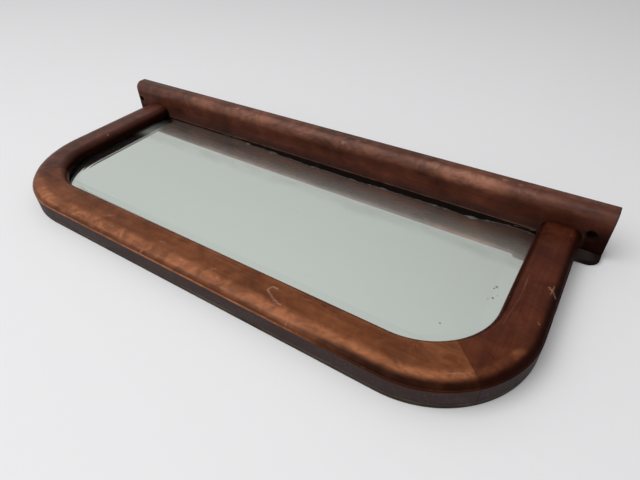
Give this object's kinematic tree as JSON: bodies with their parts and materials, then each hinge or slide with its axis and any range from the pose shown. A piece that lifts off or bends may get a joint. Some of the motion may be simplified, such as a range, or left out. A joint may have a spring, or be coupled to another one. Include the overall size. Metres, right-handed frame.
{
  "type": "countertop mirror",
  "caption": "Long, low countertop mirror: a bevelled plate in a mitred, round-cornered hardwood frame on a base rail with screw-down ears, lying on its back.",
  "frame": {"origin": "centre of the object's bounding box in plan, at the back face of the back board", "axes": "The object lies on its back: +X along its length, +Y from the rounded top of the frame towards the base rail (in use it stands on the base rail's far face, which looks along +Y), +Z out of the mirror's face"},
  "size_m": [0.4352, 0.1732, 0.0344],
  "materials": {
    "frame_wood": "red-brown stain under worn, glossy old varnish, lighter along the rubbed round-overs",
    "rail_wood": "red-brown stain under worn varnish, rubbed pale along the upper edge, dull and dark on the front",
    "mirror_glass": "silvered plate glass with a wide, shallow bevel and small spots of lost silver",
    "back_board": "unvarnished thin board, aged and dusty, with a stained edge",
    "spline_wood": "raw pale hardwood",
    "screw_steel": "tarnished steel",
    "brad_steel": "tarnished steel"
  },
  "bodies": {
    "root": {"top_rail": "frame_wood", "left_stile": "frame_wood", "right_stile": "frame_wood", "base_rail": "rail_wood", "mirror_plate": "mirror_glass", "back_board": "back_board", "left_mitre_spline": "spline_wood", "right_mitre_spline": "spline_wood", "base_screw_1": "screw_steel", "base_screw_2": "screw_steel", "base_screw_3": "screw_steel", "base_screw_4": "screw_steel", "back_brad_01": "brad_steel", "back_brad_02": "brad_steel", "back_brad_03": "brad_steel", "back_brad_04": "brad_steel", "back_brad_05": "brad_steel", "back_brad_06": "brad_steel", "back_brad_07": "brad_steel", "back_brad_08": "brad_steel", "back_brad_09": "brad_steel", "back_brad_10": "brad_steel"}
  },
  "joints": []
}
